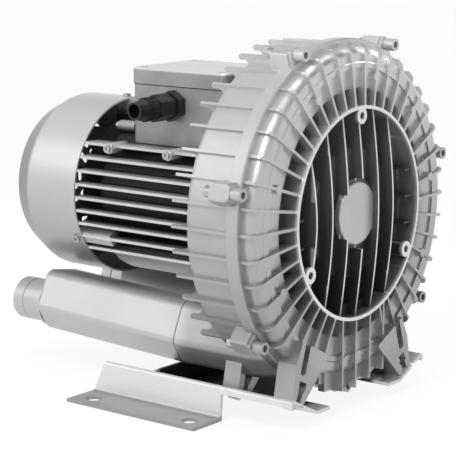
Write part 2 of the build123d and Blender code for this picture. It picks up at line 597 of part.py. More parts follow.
# --- motor --------------------------------------------------------------------
def motor_frame():
    body = turned([(FRAME_R_IN, FRAME_Y0 - 6), (71.95, FRAME_Y0 - 6), (71.95, FRAME_Y0), (96, FRAME_Y0),
                   (96, FRAME_Y0 + FLANGE_T), (72, FRAME_Y0 + FLANGE_T), (FRAME_R_OUT, FRAME_Y0 + FLANGE_T + 3),
                   (FRAME_R_OUT, FRAME_Y1), (FRAME_R_IN, FRAME_Y1)])
    fins = []
    for k in range(-4, 5):
        z = FIN_MID_Z + k * FIN_PITCH
        reach = math.sqrt(FIN_R ** 2 - z ** 2)
        root = math.sqrt((FRAME_R_IN + 2.5) ** 2 - z ** 2)
        low = max(abs(z) - FIN_T / 2, 0)
        over = math.sqrt((END_RIM_R + 0.3) ** 2 - low ** 2)
        for s in (-1, 1):
            fin = slab(min(s * root, s * reach), max(s * root, s * reach), FIN_Y0, FIN_Y1,
                       z - FIN_T / 2, z + FIN_T / 2)
            fins.append(fin - slab(-over, over, FRAME_Y1, FIN_Y1 + 1, z - FIN_T, z + FIN_T))
    belly = tube(80, 75.5, FIN_Y0, FRAME_Y1) & prism_y([(0, 0), polar(140, -138), polar(140, -42)], 90, 260)
    webs = [spin(slab(FRAME_R_OUT - 1, 78, FIN_Y0, FRAME_Y1, -1.4, 1.4), a)
            for a in (-136.5, -113, -90, -67, -43.5)]
    bosses, holes = [], []
    for a in SHIELD_ANGLES:
        x, z = polar(SHIELD_SCREW_R, a)
        bosses.append(tube(5.5, 0, FRAME_Y1 - 14, FRAME_Y1, x, z))
        holes.append(tube(2.6, 0, FRAME_Y1 - 13, FRAME_Y1 + 1, x, z))
    for a in FLANGE_ANGLES:
        x, z = polar(FLANGE_SCREW_R, a)
        holes.append(tube(4.1, 0, FRAME_Y0 - 1, FRAME_Y0 + 12, x, z))
    for a in COWL_ANGLES:
        arm = fuse(slab(FRAME_R_OUT - 1, COWL_R, 234, 245.9, -6, 6), slab(END_RIM_R + 3, COWL_R, 234, 284, -6, 6))
        bosses.append(spin(arm, a) & tube(COWL_R - COWL_T - HOUSED_GAP, 50, 230, 290))
        holes.append(spin(bar(2.1, (68, COWL_SCREW_Y, 0), (1, 0, 0), 25), a))
    for y in (161, 233):
        for s in (-1, 1):
            bosses.append(bar(5, (s * 52, y, SIDE_BOSS_Z), (s, 0, 0), 25))
            holes.append(bar(2.1, (s * 64, y, SIDE_BOSS_Z), (s, 0, 0), 20))
    pad = slab(-38, 38, 126, 222, 58, PAD_Z)
    pad -= tube(FRAME_R_IN, 0, 90, 260)
    body = fuse(body, *fins, belly, *webs, *bosses, pad)
    body -= tube(FRAME_R_IN, 0, FRAME_Y0 - 8, FRAME_Y1 + 1)
    body -= slab(-18, 18, 150, 200, 50, 80)
    for h in holes:
        body -= h
    return body


def terminal_box():
    low = FIN_MID_Z + 4 * FIN_PITCH + FIN_T / 2 + 0.1
    outer = slab(-BOX_HALF_X, BOX_HALF_X, BOX_Y0, BOX_Y1, low, BOX_SEAM_Z)
    outer = fillet(outer.edges().filter_by(Axis.Z), 5)
    inner = slab(-BOX_HALF_X + BOX_WALL, BOX_HALF_X - BOX_WALL, BOX_Y0 + BOX_WALL, BOX_Y1 - BOX_WALL, PAD_Z + 3,
                 BOX_SEAM_Z + 1)
    inner = fillet(inner.edges().filter_by(Axis.Z), 3)
    body = outer - inner - tube(FRAME_R_OUT + HOUSED_GAP, 0, BOX_Y0 - 1, BOX_Y1 + 1)
    body -= slab(-38.03, 38.03, 125.97, 222.03, 40, PAD_Z + 0.02)
    body -= slab(-18, 18, 150, 200, 40, 80)
    for sx in (-1, 1):
        for y in (BOX_Y0 + 8, BOX_Y1 - 8):
            body = fuse(body, tube_z(5, 0, PAD_Z + 2, BOX_SEAM_Z, sx * (BOX_HALF_X - 8), y))
            body -= tube_z(2.1, 0, 84, BOX_SEAM_Z + 1, sx * (BOX_HALF_X - 8), y)
    body -= bar(10.1, (-BOX_HALF_X - 2, GLAND_Y, GLAND_Z), (1, 0, 0), 10)
    return body


def tube_z(r_out, r_in, z0, z1, x, y):
    ring = Circle(r_out) - Circle(r_in) if r_in > 0 else Circle(r_out)
    return extrude(Plane((x, y, z0)) * ring, z1 - z0)


def terminal_lid():
    outer = slab(-BOX_HALF_X - 1, BOX_HALF_X + 1, BOX_Y0 - 1, BOX_Y1 + 1, BOX_SEAM_Z + 1.0, BOX_TOP_Z)
    outer = fillet(outer.edges().filter_by(Axis.Z), 6)
    outer = fillet(outer.faces().sort_by(Axis.Z)[-1].edges(), 2.5)
    inner = slab(-BOX_HALF_X + 3, BOX_HALF_X - 3, BOX_Y0 + 3, BOX_Y1 - 3, BOX_SEAM_Z, BOX_TOP_Z - 3)
    body = outer - fillet(inner.edges().filter_by(Axis.Z), 3)
    for sx in (-1, 1):
        for y in (BOX_Y0 + 8, BOX_Y1 - 8):
            post = tube_z(5.5, 0, BOX_SEAM_Z + 1.0, BOX_TOP_Z - 1, sx * (BOX_HALF_X - 8), y)
            body = fuse(body, post)
            body -= tube_z(2.3, 0, BOX_SEAM_Z, BOX_TOP_Z + 1, sx * (BOX_HALF_X - 8), y)
            body -= tube_z(4.3, 0, BOX_TOP_Z - 3.2, BOX_TOP_Z + 1, sx * (BOX_HALF_X - 8), y)
    return body


def terminal_gasket():
    outer = fillet(slab(-BOX_HALF_X, BOX_HALF_X, BOX_Y0, BOX_Y1, BOX_SEAM_Z, BOX_SEAM_Z + 1.0).edges().filter_by(Axis.Z), 5)
    inner = fillet(slab(-BOX_HALF_X + 4, BOX_HALF_X - 4, BOX_Y0 + 4, BOX_Y1 - 4, BOX_SEAM_Z - 1,
                        BOX_SEAM_Z + 2).edges().filter_by(Axis.Z), 3)
    ring = outer - inner
    for sx in (-1, 1):
        for y in (BOX_Y0 + 8, BOX_Y1 - 8):
            ring = fuse(ring, tube_z(4.8, 0, BOX_SEAM_Z, BOX_SEAM_Z + 1.0, sx * (BOX_HALF_X - 8), y))
            ring -= tube_z(2.3, 0, BOX_SEAM_Z - 1, BOX_SEAM_Z + 2, sx * (BOX_HALF_X - 8), y)
    return ring


def lid_screws():
    out = []
    for sx in (-1, 1):
        for y in (BOX_Y0 + 8, BOX_Y1 - 8):
            out.append(screw(2.0, 4.0, 2.6, 16, (sx * (BOX_HALF_X - 8), y, BOX_TOP_Z - 0.6), (0, 0, -1)))
    return out


def terminal_board():
    """Moulded board with six studs, two screws' worth of feet."""
    board = slab(-24, 24, 190, 216, PAD_Z + 5, PAD_Z + 11)
    feet = [slab(-24, -16, 190, 216, PAD_Z + 3, PAD_Z + 6), slab(16, 24, 190, 216, PAD_Z + 3, PAD_Z + 6)]
    board = fuse(board, *feet)
    return board


def terminal_studs():
    out = []
    for x in (-15, 0, 15):
        for y in (197, 209):
            stud = tube_z(1.9, 0, PAD_Z + 11, PAD_Z + 22, x, y)
            nut = extrude(Plane((x, y, PAD_Z + 13)) * RegularPolygon(3.9, 6), 3)
            base = tube_z(3.5, 0, PAD_Z + 11, PAD_Z + 13, x, y)
            out.append(fuse(stud, nut, base))
    return out


def gland_body():
    x0 = -BOX_HALF_X
    hexa = hexbar(25, (x0, GLAND_Y, GLAND_Z), (-1, 0, 0), 10)
    inside = bar(10, (x0 + 7, GLAND_Y, GLAND_Z), (-1, 0, 0), 7.5)
    front = bar(9.2, (x0 - 9.5, GLAND_Y, GLAND_Z), (-1, 0, 0), 16)
    return fuse(hexa, inside, front) - bar(7, (x0 + 8, GLAND_Y, GLAND_Z), (-1, 0, 0), 40)


def gland_nut():
    x0 = -BOX_HALF_X - 10.5
    body = hexbar(22, (x0, GLAND_Y, GLAND_Z), (-1, 0, 0), 22)
    length = -GLAND_TIP_X + x0
    dome = Pos(0, GLAND_Y, GLAND_Z) * revolve(
        path_face([(x0 - 21, 0), (x0 - 21, 10.8), (x0 - 36, 10.0), (-(-GLAND_TIP_X), 8.0), (-(-GLAND_TIP_X), 0)],
                  {2: 6}), axis=Axis.X)
    body = fuse(body, dome)
    body -= bar(9.25, (x0 + 1, GLAND_Y, GLAND_Z), (-1, 0, 0), 20)
    body -= bar(7.4, (x0, GLAND_Y, GLAND_Z), (-1, 0, 0), 38)
    body -= bar(GLAND_CABLE_R + 0.8, (x0, GLAND_Y, GLAND_Z), (-1, 0, 0), 60)
    return body


def gland_seal():
    x0 = -BOX_HALF_X - 26.5
    return bar(7.35, (x0, GLAND_Y, GLAND_Z), (-1, 0, 0), 20.5) - bar(GLAND_CABLE_R, (x0 + 1, GLAND_Y, GLAND_Z), (-1, 0, 0), 40)


def gland_locknut():
    x0 = -BOX_HALF_X + BOX_WALL
    return hexbar(22, (x0, GLAND_Y, GLAND_Z), (1, 0, 0), 3.2) - bar(10.03, (x0 - 1, GLAND_Y, GLAND_Z), (1, 0, 0), 9)


def stator_core():
    ring = Circle(FRAME_R_IN - HOUSED_GAP) - Circle(STATOR_BORE_R)
    slots = Sketch() + PolarLocations(0, SLOT_COUNT) * (Pos(48.2, 0) * Rectangle(13, 5.2))
    opens = Sketch() + PolarLocations(0, SLOT_COUNT) * (Pos(40, 0) * Rectangle(5, 2.2))
    face = ring - slots - opens
    return extrude(Plane((0, CORE_Y0, 0), x_dir=(1, 0, 0), z_dir=(0, 1, 0)) * face, CORE_Y1 - CORE_Y0)


def stator_windings():
    bars = Sketch() + PolarLocations(0, SLOT_COUNT) * (Pos(48.2, 0) * Rectangle(12.7, 4.9))
    rods = extrude(Plane((0, CORE_Y0 - 3, 0), x_dir=(1, 0, 0), z_dir=(0, 1, 0)) * bars, CORE_Y1 - CORE_Y0 + 6)
    ends = [turned([(41.5, y0), (55, y0), (57, y1), (43, y1)], {0: 3, 1: 3, 2: 3, 3: 3})
            for y0, y1 in ((CORE_Y0 - 18, CORE_Y0 - 1.5), (CORE_Y1 + 1.5, CORE_Y1 + 18))]
    return fuse(*ends, *rods.solids())


def end_shield():
    rim = FRAME_R_IN - HOUSED_GAP
    pts = [(14, 260), (14, 257), (BRG_OUT_R, 257), (BRG_OUT_R, 240), (31, 240), (33, 247), (50, 247), (50, 242),
           (rim, 242), (rim, FRAME_Y1), (END_RIM_R - 0.5, FRAME_Y1), (END_RIM_R - 0.5, 252), (60, 253), (34, 253),
           (31, 260)]
    body = turned(pts, {5: 1, 12: 2, 13: 2})
    ears, holes = [], []
    for a in SHIELD_ANGLES:
        x, z = polar(SHIELD_SCREW_R, a)
        ears += [tube(5.5, 0, FRAME_Y1, 252, x, z), spin(slab(60, 73, FRAME_Y1, 252, -5, 5), a)]
        holes.append(tube(2.7, 0, FRAME_Y1 - 1, 256, x, z))
    body = fuse(body, *ears)
    for h in holes:
        body -= h
    return body


def shield_screws():
    out = []
    for a in SHIELD_ANGLES:
        x, z = polar(SHIELD_SCREW_R, a)
        out.append(screw(2.5, 4.2, 4, 17, (x, 256, z), (0, -1, 0)))
    return out


def fan_cowl():
    t = COWL_T
    outer = [(COWL_R, COWL_Y0), (COWL_R, COWL_Y1), (74, COWL_Y2), (0, COWL_Y2)]
    inner = [(0, COWL_Y2 - t), (73.2, COWL_Y2 - t), (COWL_R - t, COWL_Y1 - 0.5), (COWL_R - t, COWL_Y0)]
    body = turned(outer + inner, {1: 10, 2: 5, 5: 4, 6: 8.5})
    cuts = []
    for r, n in ((14, 5), (26, 9), (38, 13), (50, 17), (62, 21)):
        hole = Sketch() + PolarLocations(r, n) * SlotCenterToCenter(max(2 * math.pi * r / n - 9.0, 2), 5, rotation=90)
        cuts.append(extrude(Plane((0, COWL_Y2 - 5, 0), x_dir=(1, 0, 0), z_dir=(0, 1, 0)) * hole, 8))
    for c in cuts:
        body -= c
    for a in COWL_ANGLES:
        body -= spin(bar(2.2, (80, COWL_SCREW_Y, 0), (1, 0, 0), 10), a)
    return body


def cowl_screws():
    out = []
    for a in COWL_ANGLES:
        s = screw(2.0, 4.0, 2.6, 8, (COWL_R + 2.6, COWL_SCREW_Y, 0), (-1, 0, 0))
        out.append(spin(s, a))
    return out


# --- rotor --------------------------------------------------------------------
def shaft():
    pts = [(0, SHAFT_FRONT_Y), (BRG_BORE_R - 1, SHAFT_FRONT_Y), (BRG_BORE_R, SHAFT_FRONT_Y + 1), (BRG_BORE_R, 29),
           (IMP_SEAT_R, 29), (IMP_SEAT_R, 60), (18, 60), (18, 66), (SEAL_SEAT_R, 67), (SEAL_SEAT_R, 90),
           (17, 91), (17, 126), (19, 127), (19, 219), (17, 220), (17, 239), (BRG_BORE_R, 240),
           (BRG_BORE_R, 257), (10, 258), (10, SHAFT_REAR_Y - 1), (9, SHAFT_REAR_Y), (0, SHAFT_REAR_Y)]
    body = turned(pts)
    body -= slab(-KEY_W / 2, KEY_W / 2, 33, 57, IMP_SEAT_R - 4, 40)
    body -= tube(12, 9.2, 292.2, 293.6)
    return body


def impeller_key():
    z0 = IMP_SEAT_R - 4
    return slab(-KEY_W / 2 + 0.02, KEY_W / 2 - 0.02, 33.05, 56.95, z0 + 0.02, z0 + KEY_H)


def impeller():
    y0, y1 = IMP_FRONT_Y, IMP_REAR_Y
    mid = (y0 + y1) / 2
    rim = IMP_RIM_R
    pts = [(IMP_SEAT_R + SEAT_GAP, y0), (30, y0), (30, mid - 4), (rim - 9, mid - 3), (rim - 7, y0), (rim, y0),
           (rim + 3, mid - 3), (IMP_R, mid - 1.5), (IMP_R, mid + 1.5), (rim + 3, mid + 3), (rim, y1), (rim - 7, y1),
           (rim - 9, mid + 3), (30, mid + 4), (30, y1), (IMP_SEAT_R + SEAT_GAP, y1)]
    disc = turned(pts, {2: 3, 3: 2, 12: 2, 13: 3})
    vanes = Sketch() + PolarLocations(0, VANE_COUNT) * (Pos((rim - 2 + IMP_R) / 2, 0) * Rectangle(IMP_R - rim + 2, VANE_T))
    comb = extrude(Plane((0, y0, 0), x_dir=(1, 0, 0), z_dir=(0, 1, 0)) * vanes, y1 - y0)
    comb = comb & tube(IMP_R, rim - 3, y0, y1)
    body = fuse(disc, *comb.solids())
    body -= slab(-KEY_W / 2 - 0.02, KEY_W / 2 + 0.02, y0 - 1, y1 + 1, 0, IMP_SEAT_R - 4 + KEY_H + 0.1)
    for i in range(6):
        x, z = polar(60, 30 + 60 * i)
        body -= tube(7, 0, y0, y1, x, z)
    return body


def spacer_sleeve():
    return tube(16.5, BRG_BORE_R + SEAT_GAP, BRG_FRONT_Y + BRG_W, 29) + \
        tube(16.5, IMP_SEAT_R + SEAT_GAP, 29, IMP_FRONT_Y)


def rotor_core():
    body = tube(STATOR_BORE_R - AIR_GAP, 19 + SEAT_GAP, CORE_Y0, CORE_Y1)
    for y0, y1 in ((CORE_Y0 - 9, CORE_Y0 + 1), (CORE_Y1 - 1, CORE_Y1 + 9)):
        body += tube(38, 27, y0, y1)
        for i in range(8):
            fin = spin(slab(28, 37, y0 - (6 if y0 < CORE_Y0 - 5 else -6), y1 + (6 if y1 > CORE_Y1 + 5 else -6),
                            -1.5, 1.5), 45 * i)
            body += fin
    return body


def cooling_fan():
    hub = turned([(10 + SEAT_GAP, 258), (12.6, 258), (12.6, 262), (17, 262), (18, 272), (40, 276), (64, 276), (64, 278.5), (38, 278.5),
                  (18, 280), (17, 292), (10 + SEAT_GAP, 292)], {4: 3, 9: 3})
    blades = [spin(slab(15, FAN_R, 276, 300, -1.1, 1.1), 360 / FAN_BLADES * i) for i in range(FAN_BLADES)]
    body = fuse(hub, *blades)
    body -= tube(10 + SEAT_GAP, 0, 257, 305)
    return body - turned([(0, 293), (16, 293), (34, 301), (0, 301)])


def fan_circlip():
    ring = tube(13, 9.3, 292.3, 293.5)
    return ring - prism_y([(0, 0), (-4, 20), (4, 20)], 290, 296)


def bearing_outer(y0):
    m = y0 + BRG_W / 2
    ring = tube(BRG_OUT_R - HOUSED_GAP, 22.4, y0, y0 + BRG_W)
    return ring - revolve_ball_groove(m)


def bearing_inner(y0):
    m = y0 + BRG_W / 2
    ring = tube(16.4, BRG_BORE_R + SEAT_GAP, y0, y0 + BRG_W)
    return ring - revolve_ball_groove(m)


def revolve_ball_groove(m):
    return revolve(Pos(BALL_PITCH_R, m) * Circle(BALL_R + 0.08), axis=Y_AXIS)


def bearing_balls(y0):
    m = y0 + BRG_W / 2
    cage = tube(BALL_PITCH_R + 1.1, BALL_PITCH_R - 1.1, m - 4.6, m + 4.6)
    balls = []
    for i in range(BALL_COUNT):
        x, z = polar(BALL_PITCH_R, 360 / BALL_COUNT * i)
        balls.append(Pos(x, m, z) * Sphere(BALL_R))
    return fuse(cage, *balls)


def shaft_seal():
    pts = [(SEAL_R - HOUSED_GAP, 75.55), (SEAL_R - HOUSED_GAP, 84), (20, 84), (20, 78.5), (SEAL_SEAT_R + 3, 78.5), (SEAL_SEAT_R + 0.12, 81),
           (SEAL_SEAT_R + 0.12, 79.5), (SEAL_SEAT_R + 1.5, 75.55)]
    return turned(pts)


def hub_cap():
    return turned([(0, 2.9), (CAP_R, 2.9), (CAP_R, 5.98), (BRG_OUT_R - 0.05, 5.98), (BRG_OUT_R - 0.05, 7.6),
                   (23.5, 7.6), (23.5, 5.4), (0, 5.4)], {1: 1.6})


def wave_spring():
    return tube(25.6, 21.5, 256.05, 256.95)


def casing_screws():
    out = []
    for a in LUG_ANGLES:
        x, z = polar(LUG_R, a)
        s = screw(CASING_SCREW_R, 5.0, 6, 26, (x, SPLIT_Y + LUG_T + 6, z), (0, -1, 0))
        out.append(s)
    return out


def flange_screws():
    out = []
    for a in FLANGE_ANGLES:
        x, z = polar(FLANGE_SCREW_R, a)
        out.append(screw(4.0, 6.5, 8, 18, (x, FRAME_Y0 + FLANGE_T + 8, z), (0, -1, 0)))
    return out


def silencer_screws():
    out = []
    for x, z in SIL_EARS:
        for s in (1, -1):
            out.append(screw(3.0, 5.0, 6, 13, (s * x, SIL_Y0 + 13, z), (0, -1, 0)))
    return out


def side_screws():
    out = []
    for y in (161, 233):
        for s in (-1, 1):
            out.append(screw(2.0, 3.8, 3, 10, (s * 80, y, SIDE_BOSS_Z), (-s, 0, 0)))
    return out


def foam_liner():
    """Sound foam along the silencer, hollow for the air."""
    rear = [(x, z + SIL_RISE) for x, z in NECK]
    body = loft([sil_section(shrunk(NECK, 0.85), SIL_Y0 + 8), sil_section(shrunk(rear, 0.85), SIL_Y1 - 6)])
    return body - tube(17.5, 0, SIL_Y0 - 5, SIL_Y1 + 5, -NOZZLE_X, NOZZLE_Z)


save("front_cover", front_cover())
save("rear_housing", rear_housing())
save("hub_cap", hub_cap())
save("casing_screws", *casing_screws())
save("silencer_left", silencer_body())
save("silencer_right", mirror_x(silencer_body()))
save("foam_left", foam_liner())
save("foam_right", mirror_x(foam_liner()))
save("nozzle_left", nozzle())
save("nozzle_right", mirror_x(nozzle()))
save("silencer_screws", *silencer_screws())
save("base_frame", base_frame())
save("base_bolts", *base_bolts())
save("base_nuts", *base_nuts())
save("motor_frame", motor_frame())
save("flange_screws", *flange_screws())
save("side_screws", *side_screws())
save("stator_core", stator_core())
save("stator_windings", stator_windings())
save("end_shield", end_shield())
save("shield_screws", *shield_screws())
save("fan_cowl", fan_cowl())
save("cowl_screws", *cowl_screws())
save("terminal_box", terminal_box())
save("terminal_gasket", terminal_gasket())
save("terminal_lid", terminal_lid())
save("lid_screws", *lid_screws())
save("terminal_board", terminal_board())
save("terminal_studs", *terminal_studs())
save("gland_body", gland_body())
save("gland_nut", gland_nut())
save("gland_seal", gland_seal())
save("gland_locknut", gland_locknut())
save("shaft_seal", shaft_seal())
save("wave_spring", wave_spring())
save("bearing_outer_rings", bearing_outer(BRG_FRONT_Y), bearing_outer(BRG_REAR_Y))
save("bearing_inner_rings", bearing_inner(BRG_FRONT_Y), bearing_inner(BRG_REAR_Y))
save("balls_front", bearing_balls(BRG_FRONT_Y))
save("balls_rear", bearing_balls(BRG_REAR_Y))
save("shaft", shaft())
save("impeller", impeller())
save("impeller_key", impeller_key())
save("spacer_sleeve", spacer_sleeve())
save("rotor_core", rotor_core())
save("cooling_fan", cooling_fan())
save("fan_circlip", fan_circlip())
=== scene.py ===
import json
import math
import bmesh
import bpy
from mathutils import Matrix, Vector


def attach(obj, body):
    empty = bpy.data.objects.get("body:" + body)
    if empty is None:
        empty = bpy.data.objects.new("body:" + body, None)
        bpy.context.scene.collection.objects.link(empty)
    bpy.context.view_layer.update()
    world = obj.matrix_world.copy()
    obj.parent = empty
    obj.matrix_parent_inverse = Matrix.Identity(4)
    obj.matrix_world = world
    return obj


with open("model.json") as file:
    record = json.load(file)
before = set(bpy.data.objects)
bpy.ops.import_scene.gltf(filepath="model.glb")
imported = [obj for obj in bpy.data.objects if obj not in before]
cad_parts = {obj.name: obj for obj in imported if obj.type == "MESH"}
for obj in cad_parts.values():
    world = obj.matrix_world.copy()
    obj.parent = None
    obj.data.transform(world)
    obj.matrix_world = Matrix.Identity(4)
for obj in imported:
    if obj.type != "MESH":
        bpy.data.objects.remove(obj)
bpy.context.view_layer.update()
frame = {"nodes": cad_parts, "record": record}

# Places on the blower, in metres.
SHAFT_Z = 0.1815                      # shaft line above the floor
FRONT_Y = -0.14975                    # front edge of the cover ring
GLAND_MID = (-0.0862, 0.02725, 0.2702)  # middle of the taper of the gland nut
UPRIGHT_PITCH = 0.024                 # from one upright rib of the recess to the next
BASE_CRADLE_HALF = (0.095, 0.101)     # half width of the cradle, up to the bends of the base

# Radii from the shaft line, each with the start and the end of its soft edge.
CENTRE_EDGE = (0.0755, 0.0765)        # inside the three bosses
RECESS_EDGE = (0.0935, 0.0945)        # recess, up to the ring
RING_OUTSIDE = (0.0965, 0.0975)
RING_FACE_EDGE = (0.0975, 0.0985)
TROUGH_EDGE = (0.104, 0.118)          # hollow between ring and bulge
BULGE_START = (0.112, 0.122)
BULGE_END = (0.143, 0.147)
FIN_ROOT = (0.070, 0.0835)            # motor fins, from the barrel outward

# Depths behind the front edge of the ring, in the same way.
FRONT_FACE = (0.001, 0.0035)
RIB_SIDE_START = (0.0015, 0.004)
TROUGH_DEPTH = (0.006, 0.016)
BULGE_DEPTH = (0.05, 0.07)
SILENCER_START = (0.125, 0.145)
JOIN_FRONT, JOIN_BACK = (0.1428, 0.1432), (0.1438, 0.1442)   # neck and silencer meet between them
COWL_SLOPE = (0.330, 0.334)
CRADLE_START = (0.012, 0.02)

# Heights over the shaft line.
CASING_SHADE = (-0.10, 0.17)
COWL_SHADE = (-0.09, 0.08)
LID_JOINT = (0.1185, 0.1215)
FLANGE_TOP = (0.0035 - SHAFT_Z, 0.006 - SHAFT_Z)

WHITE = (1, 1, 1, 1)


# --- shader values ------------------------------------------------------------
class Value:
    """A node's output that can stand in ordinary sums."""

    def __init__(self, finish, socket):
        self.finish, self.socket = finish, socket

    def sum(self, kind, *parts):
        return self.finish.node("ShaderNodeMath", {"operation": kind}, *parts)

    def __add__(self, other): return self.sum("ADD", self, other)
    def __radd__(self, other): return self.sum("ADD", other, self)
    def __sub__(self, other): return self.sum("SUBTRACT", self, other)
    def __rsub__(self, other): return self.sum("SUBTRACT", other, self)
    def __mul__(self, other): return self.sum("MULTIPLY", self, other)
    def __rmul__(self, other): return self.sum("MULTIPLY", other, self)
    def __pow__(self, other): return self.sum("POWER", self, other)


class Finish:
    """A material, with one way to add any node to it."""

    def __init__(self, name):
        self.take(bpy.data.materials.new(name), "Principled BSDF")

    def take(self, holder, shader):
        self.material = holder
        holder.use_nodes = True
        self.tree = holder.node_tree
        self.shader = self.tree.nodes[shader]

    def node(self, kind, settings=None, *inputs, out=0, **named):
        made = self.tree.nodes.new(kind)
        for key, setting in (settings or {}).items():
            setattr(made, key, setting)
        for place, entry in list(enumerate(inputs)) + list(named.items()):
            if entry is not None:
                self.feed(made, place, entry)
        return Value(self, made.outputs[out])

    def feed(self, node, place, entry):
        """Link a value to a socket, or set the socket to a number or colour."""
        socket = node.inputs[place.replace("_", " ") if isinstance(place, str) else place]
        if isinstance(entry, Value):
            self.tree.links.new(entry.socket, socket)
        else:
            socket.default_value = entry

    def surface(self, **inputs):
        for name, entry in inputs.items():
            self.feed(self.shader, name, entry)
        return self.material

    def noise(self, size, detail=3.0, rough=0.55, stretch=(1, 1, 1)):
        """Cloudy pattern with lumps of about this size in metres."""
        spot = self.node("ShaderNodeTexCoord", out=3)
        where = self.node("ShaderNodeMapping", None, spot, Scale=stretch)
        return self.node("ShaderNodeTexNoise", None, where, Scale=1.0 / size, Detail=detail, Roughness=rough)

    def rise(self, value, low, high):
        """0 below low, 1 above high."""
        return self.node("ShaderNodeMapRange", {"interpolation_type": "SMOOTHSTEP"}, value, low, high, 0.0, 1.0)

    def fall(self, value, low, high):
        """1 below low, 0 above high."""
        return 1.0 - self.rise(value, low, high)

    def larger(self, first, second):
        return self.node("ShaderNodeMath", {"operation": "MAXIMUM"}, first, second)

    def tint(self, mask, first, second):
        """Colour from first to second as the mask goes from 0 to 1."""
        sides = [(*c, 1.0) if isinstance(c, tuple) else c for c in (first, second)]
        return self.node("ShaderNodeMix", {"data_type": "RGBA"}, mask, None, None, None, None, None, *sides, out=2)

    def relief(self, height, depth):
        return self.node("ShaderNodeBump", None, Strength=1.0, Distance=depth, Height=height)

    def along(self):
        """Distance from the shaft line, depth behind the ring, sideways, and height over the shaft line."""
        spot = self.node("ShaderNodeTexCoord", out=3)
        x, y, z = [self.node("ShaderNodeSeparateXYZ", None, spot, out=k) for k in range(3)]
        up = z - SHAFT_Z
        return (x * x + up * up) ** 0.5, y - FRONT_Y, x, up


def grey(level):
    return (level, level, level)


# --- finishes -----------------------------------------------------------------
def casing_casting():
    """Blasted die casting: pale, polished on the channel bulge, with painted shade in the hub pockets, round the
    ring and towards the bottom, and a painted highlight on the front face.
    """
    f = Finish("cast_aluminium")
    cloud, skin, pits = f.noise(0.07, 3), f.noise(0.0009, 2, 0.7), f.noise(0.006, 5, 0.7)
    r, back, x, up = f.along()

    # painted shade in the recess beside its upright ribs; the ribs' front edges and the ring's face get a painted
    # highlight
    from_rib = f.node("ShaderNodeMath", {"operation": "PINGPONG"}, x, UPRIGHT_PITCH / 2)
    beside = f.rise(from_rib, 0.00085, 0.00105)
    recess_shade = f.fall(r, *RECESS_EDGE) * beside * f.larger(f.fall(r, *CENTRE_EDGE), f.rise(back, *RIB_SIDE_START))
    # painted shade in the hollow between the ring and the bulge
    trough_shade = f.rise(r, *RING_OUTSIDE) * f.fall(r, *TROUGH_EDGE) * f.rise(back, *TROUGH_DEPTH)
    pocket_shade = f.larger(recess_shade * 0.94, trough_shade * 0.8)
    # painted highlight on the ring's front face and on the front edges of the ribs and bosses
    edge_highlight = f.fall(r, *RING_FACE_EDGE) * f.fall(back, *FRONT_FACE) * (1.0 - recess_shade)

    bulge = f.rise(r, *BULGE_START) * f.fall(r, *BULGE_END) * f.fall(back, *BULGE_DEPTH)
    # low is painted shade: darker towards the bottom of the casing, less so on the silencers
    low = f.fall(up, *CASING_SHADE) * (1.0 - f.rise(back, *SILENCER_START) * 0.6)
    join = f.rise(back, *JOIN_FRONT) * f.fall(back, *JOIN_BACK)

    # pale skin with a random cloud, and painted shade towards the bottom
    pale = f.tint(cloud, f.tint(low, grey(0.68), grey(0.43)), f.tint(low, grey(0.60), grey(0.36)))
    # colour of the painted shade in the pockets, darker still towards the bottom
    pocket_shade_colour = f.tint(low, grey(0.19), grey(0.015))
    colour = f.tint(edge_highlight, f.tint(pocket_shade, f.tint(join, pale, grey(0.06)), pocket_shade_colour), grey(0.84))
    return f.surface(Base_Color=colour,
                     Roughness=0.36 + (cloud - 0.5) * 0.12 + (skin - 0.5) * 0.1 + pocket_shade * 0.1 - bulge * 0.08,
                     Metallic=0.66 + bulge * 0.24 - pocket_shade * 0.36, Normal=f.relief(skin * 0.4 + pits * 0.3, 0.0002))


def motor_casting():
    """Finned motor frame: pale fin edges, with painted shade between the fins."""
    f = Finish("motor_aluminium")
    cloud, skin = f.noise(0.03, 4), f.noise(0.0011, 3, 0.7)
    # painted shade between the fins, towards the barrel
    fin_gap_shade = f.fall(f.along()[0], *FIN_ROOT)
    colour = f.tint(fin_gap_shade, f.tint(cloud, grey(0.72), grey(0.56)), grey(0.02))
    return f.surface(Base_Color=colour, Roughness=0.4 + (skin - 0.5) * 0.15, Metallic=0.6 - fin_gap_shade * 0.3,
                     Normal=f.relief(skin, 0.0004))


def box_casting():
    """Terminal box: dull grey sides, with the top part painted paler as painted light from above, faintly stained.
    """
    f = Finish("box_aluminium")
    cloud, skin, stain = f.noise(0.05, 4), f.noise(0.0012, 3, 0.7), f.noise(0.012, 5, 0.75)
    # painted light: everything above the joint is paler, as if lit from above
    lit_lid = f.rise(f.along()[3], *LID_JOINT)
    side = f.tint(f.rise(cloud, 0.3, 0.7), grey(0.36), grey(0.28))
    return f.surface(Base_Color=f.tint(lit_lid, side, grey(0.72)),
                     Roughness=0.42 + (cloud - 0.5) * 0.12 + (stain - 0.5) * 0.15,
                     Metallic=0.45, Normal=f.relief(skin * 0.7 + stain * 0.3, 0.0004))


